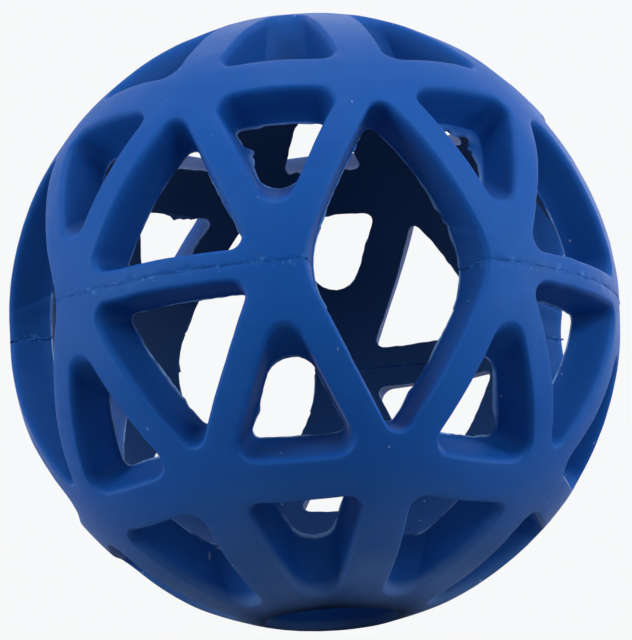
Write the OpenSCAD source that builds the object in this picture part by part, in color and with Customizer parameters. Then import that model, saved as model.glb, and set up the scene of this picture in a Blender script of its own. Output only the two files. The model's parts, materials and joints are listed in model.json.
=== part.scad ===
// Hollow rubber lattice ball that lets treats drop out through its openings.
// Two moulded half shells are bonded along the belt, halfway up the ball.
// The ball stands on the rim of its lower end opening, so its lowest edge is at zero height.

/* [Ball] */
// Outside diameter of the ball
ball_d = 120; // [90:1:160]
// Thickness of the rubber wall
wall_t = 8.5; // [6:0.5:11]
// How much deeper than half a ball each half shell is, which draws the ends out a little
end_rise = 0.8; // [0:0.2:3]
// Height of the ring nodes, in degrees seen from the half shell's centre
ring_angle = 38.6; // [36:0.1:41]

/* [Struts] */
// Width of the belt struts at the outer face
belt_w = 6.2; // [4:0.2:8]
// Width of the belt struts at the inner face
belt_w_in = 7.6; // [5:0.2:10]
// Width of the slanting braces at the outer face
brace_w = 6.4; // [4:0.2:9]
// Width of the slanting braces at the inner face
brace_w_in = 7.4; // [5:0.2:10]
// Width of the braces at the inner face, on the side of the tall openings
gap_side_w_in = 5; // [4:0.2:8]
// Width of the ring struts at the outer face
ring_w = 9.4; // [6:0.2:10]
// Width of the ring struts at the inner face
ring_w_in = 9.8; // [6:0.2:11]
// Width of the spokes, from the rings to the end rims, at the outer face
spoke_w = 9.6; // [7:0.2:11]
// Width of the spokes at the inner face
spoke_w_in = 11.6; // [8:0.2:13]
// How far a brace's middle line passes beside the centre of its ring node
ring_spread = 0.6; // [0:0.1:1.2]
// How far a brace's middle line passes beside the centre of its belt node
belt_spread = 0.5; // [0:0.1:1.2]

/* [Openings] */
// Diameter of the round opening at each end
end_hole_d = 25.5; // [20:0.5:30]
// Width of the rim round each end opening at the outer face
end_rim_w = 6; // [3:0.5:8]
// Width of the rim round each end opening at the inner face
end_rim_w_in = 9.5; // [6:0.5:11]
// Radius of the lattice openings' corners at the outer face
corner_r_out = 2.8; // [1:0.2:3.4]
// Radius of the lattice openings' corners at the inner face
corner_r_in = 1.5; // [0.5:0.25:3]
// Radius at the outer face of the corners of the openings that hang from a ring
ring_corner_r_out = 3.4; // [1:0.2:4]
// Radius at the inner face of the corners that point from a ring to the belt
tip_r_in = 5; // [2:0.5:6]
// Radius at the outer face of the tall openings' corners at the belt
gap_corner_r_out = 12; // [6:1:14]
// Radius at the inner face of the tall openings' corners at the belt
gap_corner_r_in = 18; // [6:1:20]
// Size of the softened outer edges
soft_edge = 1.1; // [0.6:0.1:1.6]

/* [Bond] */
// Thickness of the bonding film between the half shells
bond_t = 0.3; // [0.2:0.1:0.8]
// Depth of the bonding film's edges below the faces round it
bond_inset = 0.2; // [0.1:0.1:0.5]

/* [Hidden] */

// Ball
ball_r = ball_d / 2;
inner_r = ball_r - wall_t;
end_hole_r = end_hole_d / 2;
end_edge_r = end_hole_r + soft_edge;
// Height above a half shell's centre at which its end opening's edge meets the outer face
end_h = sqrt(pow(ball_r, 2) - pow(end_edge_r, 2));
// Height of the belt when the ball stands on its lower end
belt_h = end_h + end_rise;
// How far the cutters run past the faces that they cut
cut_over = 0.5;

// Lattice: the pattern repeats round the ball, and every second belt strut is left out, so
// the half shells meet along half as many struts as there are sectors
SECTORS = 8;
SECTOR_ANGLE = 360 / SECTORS;
FIRST_BELT_ANGLE = SECTOR_ANGLE / 2;
BONDS = SECTORS / 2;
BOND_ANGLE = 360 / BONDS;

// Steps of a cutter's outline: turns of a rounded corner and pieces of a straight side
CORNER_STEPS = 5;
SIDE_STEPS = 4;
// Sides of a full circle where the shape is drawn with facets
SMOOTH = 96;

// Cutter heights as shares of the ball's radius: its peak is outside, its foot inside the hollow
PEAK_SHARE = 1.6;
FOOT_SHARE = 0.45;

RUBBER = [0.09, 0.27, 0.58];
BOND = [0.10, 0.16, 0.27];

// Point on the unit ball at an angle round the axis and an angle above the belt
function spot(round_angle, up_angle) = [
    cos(up_angle) * cos(round_angle),
    cos(up_angle) * sin(round_angle),
    sin(up_angle)
];
function unit(v) = v / norm(v);
function total(list, i = 0) = i < len(list) ? list[i] + total(list, i + 1) : [0, 0, 0];

// Nodes of the lattice as directions from the centre of the upper half shell, which lies
// end_rise above the belt: belt nodes, then ring nodes half a sector further round
belt_angle = -asin(end_rise / ball_r);
function belt_node(i) = spot(FIRST_BELT_ANGLE + i * SECTOR_ANGLE, belt_angle);
function ring_node(i) = spot(FIRST_BELT_ANGLE + (i + 0.5) * SECTOR_ANGLE, ring_angle);
// The same ring node on the other half shell, mirrored in the belt
function far_ring_node(i) =
    let (near = ring_node(i) * ball_r)
    unit([near[0], near[1], -near[2] - 2 * end_rise]);
END_NODE = [0, 0, 1];

// A side of an opening: half the strut's width at the outer face and at the inner face, and
// how far the side's start and end are moved into the opening
BELT_SIDE = [belt_w / 2, belt_w_in / 2, 0, 0];
RING_SIDE = [ring_w / 2, ring_w_in / 2, 0, 0];
SPOKE_SIDE = [spoke_w / 2, spoke_w_in / 2, 0, 0];
// Braces round a tall opening, then round one that stands on the belt, then round one that
// hangs from a ring
UP_GAP_BRACE = [brace_w / 2, gap_side_w_in / 2, belt_spread, -ring_spread];
DOWN_GAP_BRACE = [brace_w / 2, gap_side_w_in / 2, -ring_spread, belt_spread];
UP_BRACE = [brace_w / 2, brace_w_in / 2, belt_spread, -ring_spread];
DOWN_BRACE = [brace_w / 2, brace_w_in / 2, -ring_spread, belt_spread];
RING_UP_BRACE = [brace_w / 2, brace_w_in / 2, -belt_spread, ring_spread];
RING_DOWN_BRACE = [brace_w / 2, brace_w_in / 2, ring_spread, -belt_spread];

// A corner's radius at the outer face and at the inner face
PLAIN_CORNER = [corner_r_out, corner_r_in];
RING_CORNER = [ring_corner_r_out, corner_r_in];
TIP_CORNER = [ring_corner_r_out, tip_r_in];
GAP_CORNER = [gap_corner_r_out, gap_corner_r_in];
// The corner at the end rim touches the rim's edge and both spokes' sides
function end_corner_r(rim_w, half_w) =
    let (slope = 1 / sin(SECTOR_ANGLE / 2))
    (end_hole_r + rim_w - half_w * slope) / (slope - 1);
END_CORNER = [end_corner_r(end_rim_w, SPOKE_SIDE[0]), end_corner_r(end_rim_w_in, SPOKE_SIDE[1])];

// Normal of a side's middle plane, pointing into the opening
function side_normal(from, to, side) =
    let (into = unit(cross(from, to)))
    unit(cross(from * ball_r + into * side[2], to * ball_r + into * side[3]));

// A size between its value at the outer face and its value at the inner face, at a radius
function at_radius(sizes, r) = sizes[0] + (sizes[1] - sizes[0]) * (ball_r - r) / wall_t;

// Point at radius r that lies at distances d1 and d2 from two planes through the centre
function plane_point(n1, n2, d1, d2, r) =
    let (
        g = n1 * n2,
        a = (d1 - d2 * g) / (1 - g * g),
        b = (d2 - d1 * g) / (1 - g * g),
        out = unit(cross(n1, n2)),
        flat = a * n1 + b * n2
    )
    flat + out * sqrt(r * r - flat * flat);

// Direction a share of the way from one unit vector to another
function turned(from, to, share) =
    let (angle = acos(from * to))
    (from * sin((1 - share) * angle) + to * sin(share * angle)) / sin(angle);

// Points of one rounded corner, between the side before it and the side after it
function corner_points(n1, n2, d1, d2, radius, r) =
    let (middle = plane_point(n1, n2, d1 + radius, d2 + radius, r))
    [for (i = [0 : CORNER_STEPS])
        unit(middle - radius * turned(n1, n2, i / CORNER_STEPS)) * r];

// Points along a side, between the last point of one corner and the first of the next
function side_points(from, to, r) =
    [for (i = [1 : SIDE_STEPS - 1])
        unit(from * (1 - i / SIDE_STEPS) + to * (i / SIDE_STEPS)) * r];

// Outline of an opening at radius r, grown by a length. Its corners are lattice nodes in
// order round it, and side i runs from corner i to the next.
function outline(corners, sides, radii, r, grow) =
    let (
        count = len(corners),
        normals = [for (i = [0 : count - 1])
            side_normal(corners[i], corners[(i + 1) % count], sides[i])],
        turns = [for (i = [0 : count - 1])
            let (before = (i + count - 1) % count)
            corner_points(
                normals[before],
                normals[i],
                at_radius(sides[before], r) - grow,
                at_radius(sides[i], r) - grow,
                at_radius(radii[i], r) + grow,
                r
            )]
    )
    [for (i = [0 : count - 1])
        each concat(
            turns[i],
            side_points(turns[i][CORNER_STEPS], turns[(i + 1) % count][0], r)
        )];

// Cutter for one opening: a narrow foot inside the hollow, the opening's walls, the
// softened edge and a peak outside the ball
module opening_cutter(corners, sides, radii) {
    foot_r = inner_r - cut_over;
    edge_r = ball_r - soft_edge;
    top_r = ball_r + cut_over;
    middle = unit(total(corners));
    rings = [
        outline(corners, sides, radii, foot_r, 0),
        outline(corners, sides, radii, edge_r, 0),
        outline(corners, sides, radii, top_r, soft_edge + cut_over)
    ];
    count = len(rings[0]);
    foot = len(rings) * count;
    peak = foot + 1;
    points = concat(
        rings[0],
        rings[1],
        rings[2],
        [middle * ball_r * FOOT_SHARE, middle * ball_r * PEAK_SHARE]
    );
    faces = concat(
        [for (i = [0 : count - 1]) [foot, i, (i + 1) % count]],
        [for (k = [0 : len(rings) - 2], i = [0 : count - 1], half = [0, 1])
            let (
                a = k * count + i,
                b = k * count + (i + 1) % count
            )
            half == 0 ? [a, a + count, b] : [b, a + count, b + count]],
        [for (i = [0 : count - 1])
            [peak, (len(rings) - 1) * count + (i + 1) % count, (len(rings) - 1) * count + i]]
    );
    polyhedron(points = points, faces = faces);
}

// Tall opening across the belt, where a belt strut is left out
module belt_gap_cutter(i) {
    opening_cutter(
        [belt_node(i), far_ring_node(i), belt_node(i + 1), ring_node(i)],
        [UP_GAP_BRACE, DOWN_GAP_BRACE, UP_GAP_BRACE, DOWN_GAP_BRACE],
        [GAP_CORNER, PLAIN_CORNER, GAP_CORNER, PLAIN_CORNER]
    );
}

// Three-cornered opening that stands on a belt strut
module belt_opening_cutter(i) {
    opening_cutter(
        [belt_node(i), belt_node(i + 1), ring_node(i)],
        [BELT_SIDE, UP_BRACE, DOWN_BRACE],
        [PLAIN_CORNER, PLAIN_CORNER, PLAIN_CORNER]
    );
}

// Three-cornered opening that hangs from a ring strut and points at a belt node
module ring_opening_cutter(i) {
    opening_cutter(
        [belt_node(i), ring_node(i), ring_node(i - 1)],
        [RING_UP_BRACE, RING_SIDE, RING_DOWN_BRACE],
        [TIP_CORNER, RING_CORNER, RING_CORNER]
    );
}

// Opening between two spokes, a ring strut and the end rim
module end_opening_cutter(i) {
    opening_cutter(
        [ring_node(i), ring_node(i + 1), END_NODE],
        [RING_SIDE, SPOKE_SIDE, SPOKE_SIDE],
        [PLAIN_CORNER, PLAIN_CORNER, END_CORNER]
    );
}

// Round opening at the end, with a softened edge
module end_hole_cutter() {
    cylinder(h = ball_r + cut_over, r = end_hole_r, $fn = SMOOTH);
    translate([0, 0, end_h - soft_edge])
        cylinder(
            h = 2 * soft_edge + cut_over,
            r1 = end_hole_r,
            r2 = end_hole_r + 2 * soft_edge + cut_over,
            $fn = SMOOTH
        );
}

// Upper half of the lattice, standing on the belt
module half_shell() {
    translate([0, 0, end_rise])
        difference() {
            sphere(r = ball_r, $fn = SMOOTH);
            sphere(r = inner_r, $fn = SMOOTH);
            translate([-ball_d, -ball_d, bond_t / 2 - end_rise - 2 * ball_d])
                cube(2 * ball_d);
            end_hole_cutter();
            for (i = [0 : SECTORS - 1]) {
                ring_opening_cutter(i);
                end_opening_cutter(i);
            }
            for (i = [0 : 2 : SECTORS - 2]) {
                belt_opening_cutter(i);
                belt_gap_cutter(i + 1);
            }
        }
}

module upper_half_shell() {
    color(RUBBER)
        translate([0, 0, belt_h])
            half_shell();
}

// The lower half comes out of the same mould and is turned over
module lower_half_shell() {
    color(RUBBER)
        translate([0, 0, belt_h])
            mirror([0, 0, 1])
                half_shell();
}

// Film of bonding compound between the half shells, along one belt strut and its two nodes,
// from the tall opening before them to the tall opening after them
module seam_bond(i) {
    gap = 2 * i - 1;
    color(BOND)
        translate([0, 0, belt_h])
            difference() {
                rotate([0, 0, i * BOND_ANGLE])
                    rotate_extrude(angle = BOND_ANGLE, $fn = SMOOTH)
                        translate([inner_r + bond_inset, -bond_t / 2])
                            square([wall_t - 2 * bond_inset, bond_t]);
                translate([0, 0, end_rise]) {
                    belt_gap_cutter(gap);
                    belt_gap_cutter(gap + 2);
                }
            }
}

upper_half_shell();
lower_half_shell();
seam_bond(0);  // seam_bond_right_back
seam_bond(1);  // seam_bond_left_back
seam_bond(2);  // seam_bond_left_front
seam_bond(3);  // seam_bond_right_front
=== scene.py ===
"""Looks of a hollow rubber lattice ball, built round its packed construction model.

Lengths in the mesh code are millimetres, measured from the centre of a half shell. Each mesh
is turned into metres in the row frame once, as it is handed to Blender.
"""

import json
import logging
import math
from collections.abc import Sequence
from dataclasses import dataclass, field
from enum import Enum

import bmesh
import bpy
import numpy as np
from mathutils import Matrix, Vector
from mathutils.geometry import delaunay_2d_cdt

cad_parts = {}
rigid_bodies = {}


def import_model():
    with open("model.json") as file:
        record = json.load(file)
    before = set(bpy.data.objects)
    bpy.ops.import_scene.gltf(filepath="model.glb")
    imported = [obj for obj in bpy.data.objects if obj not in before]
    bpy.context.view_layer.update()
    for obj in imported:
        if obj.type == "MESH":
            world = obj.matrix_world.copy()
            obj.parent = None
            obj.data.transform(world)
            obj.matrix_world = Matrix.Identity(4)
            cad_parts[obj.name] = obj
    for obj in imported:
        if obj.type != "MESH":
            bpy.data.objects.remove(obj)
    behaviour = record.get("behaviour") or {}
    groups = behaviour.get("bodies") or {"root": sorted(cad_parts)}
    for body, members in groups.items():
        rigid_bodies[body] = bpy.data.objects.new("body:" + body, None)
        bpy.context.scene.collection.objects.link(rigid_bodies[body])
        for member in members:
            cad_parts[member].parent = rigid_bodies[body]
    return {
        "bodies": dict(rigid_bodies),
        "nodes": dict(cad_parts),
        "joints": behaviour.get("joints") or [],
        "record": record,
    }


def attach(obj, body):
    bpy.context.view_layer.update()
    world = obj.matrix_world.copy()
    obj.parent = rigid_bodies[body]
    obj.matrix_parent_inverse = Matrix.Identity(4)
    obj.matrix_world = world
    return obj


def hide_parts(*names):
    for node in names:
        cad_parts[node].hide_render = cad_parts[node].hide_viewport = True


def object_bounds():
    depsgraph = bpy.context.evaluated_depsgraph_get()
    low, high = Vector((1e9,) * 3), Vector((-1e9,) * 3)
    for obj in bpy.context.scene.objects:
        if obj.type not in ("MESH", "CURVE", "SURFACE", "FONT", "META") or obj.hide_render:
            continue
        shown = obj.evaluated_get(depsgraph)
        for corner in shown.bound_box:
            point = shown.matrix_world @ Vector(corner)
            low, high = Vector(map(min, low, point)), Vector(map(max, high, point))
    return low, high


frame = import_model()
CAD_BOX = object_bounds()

LOG = logging.getLogger("lattice_ball")
METRES = 0.001
FLASH_RIM = "flash_rim"
INNER_FACE = "inner_face_shade"
UPPER_SEED = 11
LOWER_SEED = 47
END_OPENING = 0
CUT_TOLERANCE = 1e-5
JOIN_TOLERANCE = 1e-9
GOLDEN_ANGLE = math.pi * (3 - math.sqrt(5))
NOISE_MIDDLE = 0.5
Colour = tuple[float, float, float]
Socket = bpy.types.NodeSocket


class Half(Enum):
    """The two half shells. The value is the way that the shell points along the axis."""

    UPPER = 1
    LOWER = -1

    @property
    def node(self) -> str:
        """Name of the half shell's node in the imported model."""
        return f"{self.name.lower()}_half_shell"

    @property
    def slot(self) -> str:
        """Name of the half shell's material slot in the record."""
        return f"{self.name.lower()}_rubber"


class Quarter(Enum):
    """The four places where the half shells meet, counted round the axis from +X."""

    RIGHT_BACK = 0
    LEFT_BACK = 1
    LEFT_FRONT = 2
    RIGHT_FRONT = 3

    @property
    def node(self) -> str:
        """Name of the bond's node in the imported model."""
        return f"seam_bond_{self.name.lower()}"


def unit(vectors: np.ndarray) -> np.ndarray:
    """Vectors along the last axis, scaled to length one."""
    return vectors / np.linalg.norm(vectors, axis=-1, keepdims=True)


def spot(round_angle: float, up_angle: float) -> np.ndarray:
    """Point on the unit ball at an angle round the axis and an angle above the belt.

    Args:
        round_angle: degrees round the axis from +X.
        up_angle: degrees above the plane through the centre.

    Returns:
        The point as three numbers.
    """
    turn, up = math.radians(round_angle), math.radians(up_angle)
    return np.array([math.cos(up) * math.cos(turn), math.cos(up) * math.sin(turn), math.sin(up)])


def ease(values: np.ndarray, low: float, high: float) -> np.ndarray:
    """Smooth step from 0 at low to 1 at high.

    Args:
        values: what is eased.
        low: value at which the step starts.
        high: value at which the step ends.

    Returns:
        An array of the same shape, from 0 to 1.
    """
    share = np.clip((values - low) / (high - low), 0, 1)
    return share * share * (3 - 2 * share)


def plane_point(
    planes: tuple[np.ndarray, np.ndarray], reach: tuple[float, float], radius: float
) -> np.ndarray:
    """Point on a sphere that lies at given distances from two planes through its centre.

    Args:
        planes: the planes' normals.
        reach: the distances from the planes.
        radius: radius of the sphere.

    Returns:
        The point as three numbers.
    """
    one, two = planes
    lean = float(one @ two)
    along_one = (reach[0] - reach[1] * lean) / (1 - lean * lean)
    along_two = (reach[1] - reach[0] * lean) / (1 - lean * lean)
    flat = along_one * one + along_two * two
    return flat + unit(np.cross(one, two)) * math.sqrt(radius * radius - flat @ flat)


@dataclass(frozen=True)
class Ripple:
    """Smooth seeded noise in space: a sum of plane waves that stays near its height."""

    seed: int
    wavelength: float
    height: float = 1.0
    waves: int = 18
    pitch_spread: tuple[float, float] = (0.6, 1.5)

    def at(self, points: np.ndarray, first_seed: int = 0) -> np.ndarray:
        """Value of the noise at each point.

        Args:
            points: rows of three coordinates, in millimetres.
            first_seed: first seed of the piece that carries the noise, to which its own is added.

        Returns:
            One number for each row.
        """
        random = np.random.default_rng(first_seed + self.seed)
        ways = unit(random.normal(size=(self.waves, 3)))
        pitch = random.uniform(*self.pitch_spread, self.waves) * 2 * math.pi / self.wavelength
        phase = random.uniform(0, 2 * math.pi, self.waves)
        total = np.cos(points @ (ways * pitch[:, None]).T + phase).sum(1)
        return self.height * (total / math.sqrt(self.waves))


SEAM_BENDS = (Ripple(71, 36.0, 0.28), Ripple(72, 7.0, 0.09))


def seam_wave(points: np.ndarray) -> np.ndarray:
    """How far the seam lies above the belt's plane at each point round the axis."""
    around = points * np.array([1.0, 1.0, 0.0])
    return sum(bend.at(around) for bend in SEAM_BENDS)


@dataclass(frozen=True)
class LatticeSizes:
    """Sizes of the lattice in millimetres and degrees.

    The radii and the belt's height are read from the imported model. The others repeat the
    construction's values. A pair holds a size at the outer face and at the inner face.
    """

    ball_radius: float
    inner_radius: float
    end_hole_radius: float
    belt_height: float
    end_rise: float = 0.8
    ring_angle: float = 38.6
    sectors: int = 8
    belt_widths: tuple[float, float] = (6.2, 7.6)
    brace_widths: tuple[float, float] = (6.4, 7.4)
    gap_side_widths: tuple[float, float] = (6.4, 5.0)
    ring_widths: tuple[float, float] = (9.4, 9.8)
    spoke_widths: tuple[float, float] = (9.6, 11.6)
    end_rim_widths: tuple[float, float] = (6.0, 9.5)
    corner_radii: tuple[float, float] = (2.8, 1.5)
    ring_corner_radii: tuple[float, float] = (3.4, 1.5)
    tip_radii: tuple[float, float] = (3.4, 5.0)
    gap_radii: tuple[float, float] = (12.0, 18.0)
    ring_spread: float = 0.6
    belt_spread: float = 0.5
    bond_thickness: float = 0.3
    bond_inset: float = 0.2

    @classmethod
    def from_frame(cls, model: dict) -> "LatticeSizes":
        """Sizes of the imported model.


        Returns:
            The sizes, with the radii and the belt's height as the model has them.
        """
        low, high = CAD_BOX
        belt_height = (low.z + high.z) / 2 / METRES
        mesh = model["nodes"][Half.UPPER.node].data
        corners = np.empty(len(mesh.vertices) * 3)
        mesh.vertices.foreach_get("co", corners)
        centre = np.array([0, 0, belt_height + cls.end_rise])
        radii = np.linalg.norm(corners.reshape(-1, 3) / METRES - centre, axis=1)
        mounts = {mount["name"]: mount for mount in model["record"]["mounts"]}
        return cls(
            ball_radius=float(radii.max()),
            inner_radius=float(radii.min()),
            end_hole_radius=mounts["top_end_opening"]["dims"]["r_mm"],
            belt_height=belt_height,
        )

    @property
    def sector_angle(self) -> float:
        """Angle round the axis after which the lattice repeats."""
        return 360 / self.sectors

    @property
    def belt_z(self) -> float:
        """Height of the belt, measured from the half shell's centre."""
        return -self.end_rise

    def between(self, pair: tuple[float, float], radius: float) -> float:
        """A size at a radius between the outer face and the inner face."""
        wall = self.ball_radius - self.inner_radius
        return pair[0] + (pair[1] - pair[0]) * (self.ball_radius - radius) / wall

    def belt_node(self, index: int) -> np.ndarray:
        """Direction of a node on the belt."""
        dip = -math.degrees(math.asin(self.end_rise / self.ball_radius))
        return spot((index + 0.5) * self.sector_angle, dip)

    def ring_node(self, index: int) -> np.ndarray:
        """Direction of a node on the ring, half a sector further round than its belt node."""
        return spot((index + 1) * self.sector_angle, self.ring_angle)

    def far_ring_node(self, index: int) -> np.ndarray:
        """Direction of the ring node that lies across the belt.

        Args:
            index: number of the ring node, counted round the axis.

        Returns:
            A vector of length one.
        """
        across = self.ring_node(index) * self.ball_radius
        across[2] = -across[2] - 2 * self.end_rise
        return unit(across)

    def end_corner_radii(self) -> tuple[float, float]:
        """Radii of the corner that touches an end rim and the sides of two spokes.

        Returns:
            The radius at the outer face and at the inner face.
        """
        slope = 1 / math.sin(math.radians(self.sector_angle / 2))
        return tuple(
            (self.end_hole_radius + rim - width / 2 * slope) / (slope - 1)
            for rim, width in zip(self.end_rim_widths, self.spoke_widths)
        )


@dataclass(frozen=True)
class Strut:
    """The strut along one side of an opening, and how far its ends lie into the opening."""

    widths: tuple[float, float]
    start_shift: float = 0.0
    end_shift: float = 0.0


@dataclass(frozen=True)
class WallStation:
    """One outline in an opening's wall.

    It is grown over the struts by a length. The lip share says how far it follows the flash,
    and rim and hollow how far its points belong to the flash's rim and to the inner face.
    """

    radius: float
    grow: float
    lip_share: float = 0.0
    rim: float = 0.0
    hollow: float = 0.0


@dataclass(frozen=True)
class Tear:
    """A tongue of flash that was left at an opening's inner edge.

    The opening is counted in HalfShell.openings(), and the place is a share of its outline.
    A roundness below 1 gives the tongue a blunter tip.
    """

    opening: int
    place: float
    half_length: float
    width: float
    roundness: float = 0.7

    def width_along(self, row: np.ndarray) -> np.ndarray:
        """How wide the tongue is along an opening's outline.

        Args:
            row: the closed outline, as rows of three coordinates.

        Returns:
            One width in millimetres for each point.
        """
        lengths = np.linalg.norm(np.roll(row, -1, axis=0) - row, axis=1)
        along = np.concatenate([[0], np.cumsum(lengths)])
        away = np.abs(along[:-1] - along[round(self.place * len(row))])
        away = np.minimum(away, along[-1] - away) / self.half_length
        return self.width * np.clip(1 - away**2, 0, 1) ** self.roundness


@dataclass
class LatticeOpening:
    """An opening between three or four struts, with rounded corners."""

    sizes: LatticeSizes
    corners: list[np.ndarray]
    struts: list[Strut]
    rounds: list[tuple[float, float]]
    spacing: float = 0.6
    corner_steps: int = 8
    planes: list[np.ndarray] = field(init=False)
    side_steps: list[int] = field(init=False)

    def __post_init__(self) -> None:
        """Finds the struts' middle planes and how many steps each side takes."""
        ball = self.sizes.ball_radius
        self.planes, self.side_steps = [], []
        for index, strut in enumerate(self.struts):
            start, end = self.corners[index], self.corners[(index + 1) % len(self.corners)]
            into = unit(np.cross(start, end))
            shifted_start = start * ball + into * strut.start_shift
            shifted_end = end * ball + into * strut.end_shift
            self.planes.append(unit(np.cross(shifted_start, shifted_end)))
            length = ball * math.acos(float(start @ end))
            self.side_steps.append(round(length / self.spacing))

    def reach(self, index: int, radius: float, grow: float) -> float:
        """Distance of a side from its strut's middle plane."""
        return self.sizes.between(self.struts[index].widths, radius) / 2 - grow

    def arc(self, index: int, radius: float, grow: float) -> np.ndarray:
        """Points of one rounded corner.

        Args:
            index: which corner, counted round the opening.
            radius: distance from the half shell's centre.
            grow: how far the outline is grown over the struts.

        Returns:
            Rows of three coordinates.
        """
        before = index - 1
        bend = self.sizes.between(self.rounds[index], radius) + grow
        reach = (self.reach(before, radius, grow) + bend, self.reach(index, radius, grow) + bend)
        one, two = self.planes[before], self.planes[index]
        middle = plane_point((one, two), reach, radius)
        angle = math.acos(float(one @ two))
        shares = np.linspace(0, 1, self.corner_steps + 1)[:, None]
        turned = one * np.sin((1 - shares) * angle) + two * np.sin(shares * angle)
        return unit(middle - bend * turned / math.sin(angle)) * radius

    def outline(self, radius: float, grow: float) -> np.ndarray:
        """Outline of the opening at a radius.

        Args:
            radius: distance from the half shell's centre.
            grow: how far the outline is grown over the struts.

        Returns:
            Rows of three coordinates, always as many and in the same order.
        """
        arcs = [self.arc(index, radius, grow) for index in range(len(self.corners))]
        rows = []
        for index, arc in enumerate(arcs):
            rows.append(arc)
            plane, reach = self.planes[index], self.reach(index, radius, grow)
            shares = np.linspace(0, 1, self.side_steps[index] + 1)[1:-1, None]
            line = arc[-1] * (1 - shares) + arcs[(index + 1) % len(arcs)][0] * shares
            flat = line - (line @ plane)[:, None] * plane
            rows.append(plane * reach + unit(flat) * math.sqrt(radius**2 - reach**2))
        return np.vstack(rows)

    def covers(self, points: np.ndarray, radius: float, grow: float) -> np.ndarray:
        """Which points of a sphere lie between the sides of the grown opening.

        Args:
            points: rows of three coordinates.
            radius: radius of the sphere.
            grow: how far the opening is grown over the struts.

        Returns:
            One truth value for each point.
        """
        inside = np.ones(len(points), bool)
        for index, plane in enumerate(self.planes):
            inside &= points @ plane > self.reach(index, radius, grow)
        return inside


@dataclass
class RoundEndOpening:
    """The round opening at the end of a half shell, with a straight wall along the axis."""

    sizes: LatticeSizes
    spacing: float = 0.6

    def outline(self, radius: float, grow: float) -> np.ndarray:
        """Outline of the opening at a radius.

        Args:
            radius: distance from the half shell's centre.
            grow: how far the outline is grown over the end rim.

        Returns:
            Rows of three coordinates, always as many and in the same order.
        """
        across = self.sizes.end_hole_radius + grow
        count = round(2 * math.pi * self.sizes.end_hole_radius / self.spacing)
        turn = np.linspace(0, 2 * math.pi, count, endpoint=False)
        height = np.full(count, math.sqrt(radius**2 - across**2))
        return np.column_stack([across * np.cos(turn), across * np.sin(turn), height])

    def covers(self, points: np.ndarray, radius: float, grow: float) -> np.ndarray:
        """Which points of a sphere lie inside the grown opening."""
        across = self.sizes.end_hole_radius + grow
        return (np.hypot(points[:, 0], points[:, 1]) < across) & (points[:, 2] > 0)


Opening = LatticeOpening | RoundEndOpening


def belt_gap(sizes: LatticeSizes, index: int) -> LatticeOpening:
    """Tall opening across the belt, where a belt strut is left out.

    Args:
        sizes: sizes of the lattice.
        index: number of the belt node before the opening.

    Returns:
        The opening, as seen from the upper half shell.
    """
    up = Strut(sizes.gap_side_widths, sizes.belt_spread, -sizes.ring_spread)
    down = Strut(sizes.gap_side_widths, -sizes.ring_spread, sizes.belt_spread)
    corners = [
        sizes.belt_node(index),
        sizes.far_ring_node(index),
        sizes.belt_node(index + 1),
        sizes.ring_node(index),
    ]
    rounds = [sizes.gap_radii, sizes.corner_radii, sizes.gap_radii, sizes.corner_radii]
    return LatticeOpening(sizes, corners, [up, down, up, down], rounds)


def belt_opening(sizes: LatticeSizes, index: int) -> LatticeOpening:
    """Three-cornered opening that stands on the belt strut after a belt node.

    Args:
        sizes: sizes of the lattice.
        index: number of the belt node.

    Returns:
        The opening.
    """
    up = Strut(sizes.brace_widths, sizes.belt_spread, -sizes.ring_spread)
    down = Strut(sizes.brace_widths, -sizes.ring_spread, sizes.belt_spread)
    corners = [sizes.belt_node(index), sizes.belt_node(index + 1), sizes.ring_node(index)]
    struts = [Strut(sizes.belt_widths), up, down]
    return LatticeOpening(sizes, corners, struts, [sizes.corner_radii] * 3)


def ring_opening(sizes: LatticeSizes, index: int) -> LatticeOpening:
    """Three-cornered opening that hangs from a ring strut and points at a belt node.

    Args:
        sizes: sizes of the lattice.
        index: number of the belt node.

    Returns:
        The opening.
    """
    up = Strut(sizes.brace_widths, -sizes.belt_spread, sizes.ring_spread)
    down = Strut(sizes.brace_widths, sizes.ring_spread, -sizes.belt_spread)
    corners = [sizes.belt_node(index), sizes.ring_node(index), sizes.ring_node(index - 1)]
    rounds = [sizes.tip_radii, sizes.ring_corner_radii, sizes.ring_corner_radii]
    return LatticeOpening(sizes, corners, [up, Strut(sizes.ring_widths), down], rounds)


def end_opening(sizes: LatticeSizes, index: int) -> LatticeOpening:
    """Opening between two spokes, a ring strut and the end rim.

    Args:
        sizes: sizes of the lattice.
        index: number of the ring node before the opening.

    Returns:
        The opening.
    """
    spoke = Strut(sizes.spoke_widths)
    corners = [sizes.ring_node(index), sizes.ring_node(index + 1), np.array([0.0, 0.0, 1.0])]
    rounds = [sizes.corner_radii, sizes.corner_radii, sizes.end_corner_radii()]
    return LatticeOpening(sizes, corners, [Strut(sizes.ring_widths), spoke, spoke], rounds)


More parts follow.
